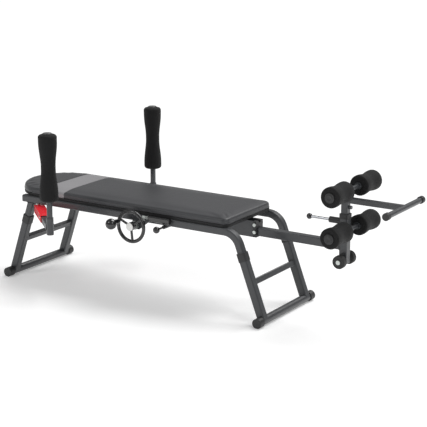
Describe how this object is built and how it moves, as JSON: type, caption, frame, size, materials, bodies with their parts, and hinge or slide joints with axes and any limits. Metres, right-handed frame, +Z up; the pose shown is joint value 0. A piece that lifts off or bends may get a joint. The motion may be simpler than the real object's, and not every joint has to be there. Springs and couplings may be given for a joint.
{
  "type": "back stretch bench",
  "caption": "Padded bench on splayed telescopic legs, with swinging foam armpit posts, a crank-driven boom, foam ankle rollers and a T handle.",
  "frame": {"origin": "on the floor, under the middle of the bench's overall box", "axes": "+X along the bench towards the ankle rollers, +Z up, -Y is the side with the handwheel"},
  "size_m": [2.0586, 0.92, 0.8],
  "materials": {
    "charcoal_paint": "semi-gloss powder coat",
    "black_plastic": "satin moulded",
    "pad_board": "black backing cloth over plywood",
    "pad_vinyl": "grained satin vinyl",
    "foam": "closed-cell foam",
    "black_casting": "black enamel",
    "gloss_black": "polished",
    "red_plastic": "glossy moulded",
    "zinc_steel": "zinc plated",
    "chrome": "polished",
    "bronze": "machined",
    "wheel_tread": "satin"
  },
  "bodies": {
    "bench_frame": {"side_rail_near": "charcoal_paint", "side_rail_far": "charcoal_paint", "head_leg_posts": "charcoal_paint", "rail_end_caps": "black_plastic", "cross_tubes": "charcoal_paint", "leg_snap_buttons": "zinc_steel", "pad_board": "pad_board", "pad_cushion": "pad_vinyl", "boom_housing": "charcoal_paint", "guide_block": "black_plastic", "guide_bolts": "zinc_steel", "crank_bracket": "zinc_steel", "crank_bushes": "bronze", "pull_rod_barrel": "black_plastic", "arm_pivot_bolts": "zinc_steel"},
    "head_leg_frame": {"head_leg_frame": "charcoal_paint", "head_floor_caps": "black_plastic", "head_leg_collars": "black_plastic"},
    "foot_leg_frame": {"foot_leg_frame": "charcoal_paint", "foot_floor_caps": "black_plastic", "foot_leg_collars": "black_plastic"},
    "post_arm_near": {"post_arm_near": "charcoal_paint"},
    "post_arm_far": {"post_arm_far": "charcoal_paint"},
    "lock_lever_near": {"lock_lever_near": "red_plastic"},
    "lock_lever_far": {"lock_lever_far": "red_plastic"},
    "post_near": {"post_tube_near": "charcoal_paint", "post_foam_near": "foam", "post_cap_near": "gloss_black"},
    "post_far": {"post_tube_far": "charcoal_paint", "post_foam_far": "foam", "post_cap_far": "gloss_black"},
    "boom": {"boom_tube": "charcoal_paint", "boom_shoe": "black_plastic", "rack": "zinc_steel", "column_sleeve": "charcoal_paint", "column_collar": "black_plastic", "lower_axle": "charcoal_paint", "lower_axle_plugs": "black_plastic", "column_pin_barrel": "black_plastic", "transport_axle": "zinc_steel"},
    "handwheel": {"handwheel": "black_casting", "crank_shaft": "zinc_steel", "pinion": "zinc_steel", "ratchet_wheel": "zinc_steel"},
    "crank_knob": {"crank_knob": "gloss_black"},
    "release_lever": {"release_lever": "zinc_steel", "release_grip": "gloss_black"},
    "pull_rod": {"pull_rod": "gloss_black"},
    "upper_column": {"upper_column": "charcoal_paint", "upper_axle": "charcoal_paint", "upper_axle_plugs": "black_plastic", "t_handle": "charcoal_paint", "t_bar_caps": "black_plastic"},
    "column_pin": {"column_pin": "chrome"},
    "lower_roller_near": {"lower_roller_near": "foam"},
    "lower_roller_far": {"lower_roller_far": "foam"},
    "upper_roller_near": {"upper_roller_near": "foam"},
    "upper_roller_far": {"upper_roller_far": "foam"},
    "transport_wheel_near": {"transport_wheel_near": "wheel_tread"},
    "transport_wheel_far": {"transport_wheel_far": "wheel_tread"}
  },
  "joints": [
    {"name": "head_leg_slide", "type": "slide", "parent": "bench_frame", "child": "head_leg_frame", "axis": [-0.3289, 0, -0.9444], "range_m": [0, 0.1]},
    {"name": "foot_leg_slide", "type": "slide", "parent": "bench_frame", "child": "foot_leg_frame", "axis": [0.3551, 0, -0.9348], "range_m": [0, 0.1]},
    {"name": "post_swing_near", "type": "hinge", "parent": "bench_frame", "child": "post_arm_near", "pos_m": [-0.83922, -0.192, 0.355], "axis": [0, 0, 1], "range_deg": [-35, 28]},
    {"name": "post_swing_far", "type": "hinge", "parent": "bench_frame", "child": "post_arm_far", "pos_m": [-0.83922, 0.192, 0.355], "axis": [0, 0, -1], "range_deg": [-35, 28]},
    {"name": "lock_lever_near_tilt", "type": "hinge", "parent": "post_arm_near", "child": "lock_lever_near", "pos_m": [-0.77161, -0.2514, 0.355], "axis": [-0.66, -0.7513, 0], "range_deg": [0, 6]},
    {"name": "lock_lever_far_tilt", "type": "hinge", "parent": "post_arm_far", "child": "lock_lever_far", "pos_m": [-0.77161, 0.2514, 0.355], "axis": [0.66, -0.7513, 0], "range_deg": [0, 6]},
    {"name": "post_lift_near", "type": "slide", "parent": "post_arm_near", "child": "post_near", "axis": [0, 0, 1], "range_m": [0, 0.05]},
    {"name": "post_lift_far", "type": "slide", "parent": "post_arm_far", "child": "post_far", "axis": [0, 0, 1], "range_m": [0, 0.05]},
    {"name": "boom_slide", "type": "slide", "parent": "bench_frame", "child": "boom", "axis": [1, 0, 0], "range_m": [-0.06, 0.06]},
    {"name": "handwheel_turn", "type": "hinge", "parent": "bench_frame", "child": "handwheel", "pos_m": [-0.24025, 0, 0.37], "axis": [0, 1, 0], "range_deg": [-250, 250]},
    {"name": "crank_knob_spin", "type": "hinge", "parent": "handwheel", "child": "crank_knob", "pos_m": [-0.31019, -0.31, 0.38487], "axis": [0, 1, 0], "continuous": true},
    {"name": "release_lever_lift", "type": "hinge", "parent": "bench_frame", "child": "release_lever", "pos_m": [-0.19625, -0.219, 0.404], "axis": [0, -1, 0], "range_deg": [0, 25]},
    {"name": "pull_rod_slide", "type": "slide", "parent": "bench_frame", "child": "pull_rod", "axis": [0, -1, 0], "range_m": [0, 0.012], "stiffness_N_per_m": 400, "springref_m": -0.004},
    {"name": "ankle_height_slide", "type": "slide", "parent": "boom", "child": "upper_column", "axis": [0, 0, 1], "range_m": [-0.02, 0.04]},
    {"name": "column_pin_slide", "type": "slide", "parent": "boom", "child": "column_pin", "axis": [-1, 0, 0], "range_m": [0, 0.012], "stiffness_N_per_m": 400, "springref_m": -0.004},
    {"name": "lower_roller_near_spin", "type": "hinge", "parent": "boom", "child": "lower_roller_near", "pos_m": [0.76475, -0.134, 0.45], "axis": [0, 1, 0], "continuous": true},
    {"name": "lower_roller_far_spin", "type": "hinge", "parent": "boom", "child": "lower_roller_far", "pos_m": [0.76475, 0.134, 0.45], "axis": [0, 1, 0], "continuous": true},
    {"name": "upper_roller_near_spin", "type": "hinge", "parent": "upper_column", "child": "upper_roller_near", "pos_m": [0.76475, -0.134, 0.63], "axis": [0, 1, 0], "continuous": true},
    {"name": "upper_roller_far_spin", "type": "hinge", "parent": "upper_column", "child": "upper_roller_far", "pos_m": [0.76475, 0.134, 0.63], "axis": [0, 1, 0], "continuous": true},
    {"name": "transport_wheel_near_spin", "type": "hinge", "parent": "boom", "child": "transport_wheel_near", "pos_m": [0.73575, -0.046, 0.305], "axis": [0, 1, 0], "continuous": true},
    {"name": "transport_wheel_far_spin", "type": "hinge", "parent": "boom", "child": "transport_wheel_far", "pos_m": [0.73575, 0.046, 0.305], "axis": [0, 1, 0], "continuous": true}
  ],
  "couplings": [
    {"joint": "handwheel_turn", "follows": "boom_slide", "rad_per_m": -71.429}
  ]
}
